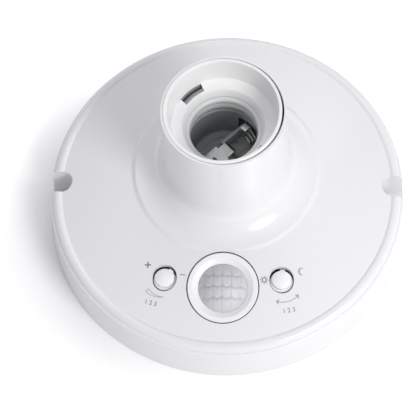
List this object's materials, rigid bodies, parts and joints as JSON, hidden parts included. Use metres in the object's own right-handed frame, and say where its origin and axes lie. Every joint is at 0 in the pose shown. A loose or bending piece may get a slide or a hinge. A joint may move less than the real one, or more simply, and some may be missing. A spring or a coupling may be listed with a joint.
{
  "type": "motion sensor lamp holder",
  "caption": "Round white ceiling lamp holder with a flared neck for a screw lamp, a motion sensor under a small faceted lens and setting knobs beside it.",
  "frame": {"origin": "centre of the round base, on the plane that meets the ceiling or wall", "axes": "+Z out of the mounting surface along the lamp socket, -Y from the middle towards the sensor lens, +X towards the light-level knob"},
  "size_m": [0.14, 0.14, 0.0689],
  "materials": {
    "cover_white": "glossy",
    "socket_white": "satin",
    "knob_white": "glossy",
    "lens_milky": "translucent",
    "nickel": "satin",
    "screw_steel": "zinc plated",
    "sensor_can": "plated",
    "plate_white": "matt",
    "board_green": "lacquered",
    "black_plastic": "matt",
    "blue_plastic": "satin",
    "yellow_plastic": "satin",
    "ceramic_tan": "matt",
    "wire_brown": "smooth",
    "wire_blue": "smooth",
    "wire_red": "smooth",
    "wire_black": "smooth"
  },
  "bodies": {
    "holder": {"front_cover": "cover_white", "back_plate": "plate_white", "cover_screws": "screw_steel", "lamp_socket": "socket_white", "centre_contact": "nickel", "side_contact": "nickel", "sensor_bezel": "cover_white", "sensor_lens": "lens_milky", "motion_sensor": "sensor_can", "sensor_stand": "black_plastic", "light_sensor": "ceramic_tan", "time_pot": "blue_plastic", "lux_pot": "blue_plastic", "circuit_board": "board_green", "board_screws": "screw_steel", "control_chip": "black_plastic", "relay": "blue_plastic", "film_capacitor": "yellow_plastic", "electrolytic_capacitors": "black_plastic", "rectifier_diodes": "black_plastic", "fusible_resistor": "blue_plastic", "varistor": "ceramic_tan", "terminal_block": "plate_white", "terminal_screws": "screw_steel", "live_wire": "wire_brown", "neutral_wire": "wire_blue", "lamp_live_wire": "wire_red", "lamp_neutral_wire": "wire_black"},
    "time_dial": {"time_knob": "knob_white", "time_rotor": "plate_white"},
    "lux_dial": {"lux_knob": "knob_white", "lux_rotor": "plate_white"}
  },
  "joints": [
    {"name": "time_turn", "type": "hinge", "parent": "holder", "child": "time_dial", "pos_m": [-0.0214, -0.0402, 0.02], "axis": [0, 0, 1], "range_deg": [-270, 0]},
    {"name": "lux_turn", "type": "hinge", "parent": "holder", "child": "lux_dial", "pos_m": [0.0214, -0.0402, 0.02], "axis": [0, 0, 1], "range_deg": [-270, 0]}
  ]
}
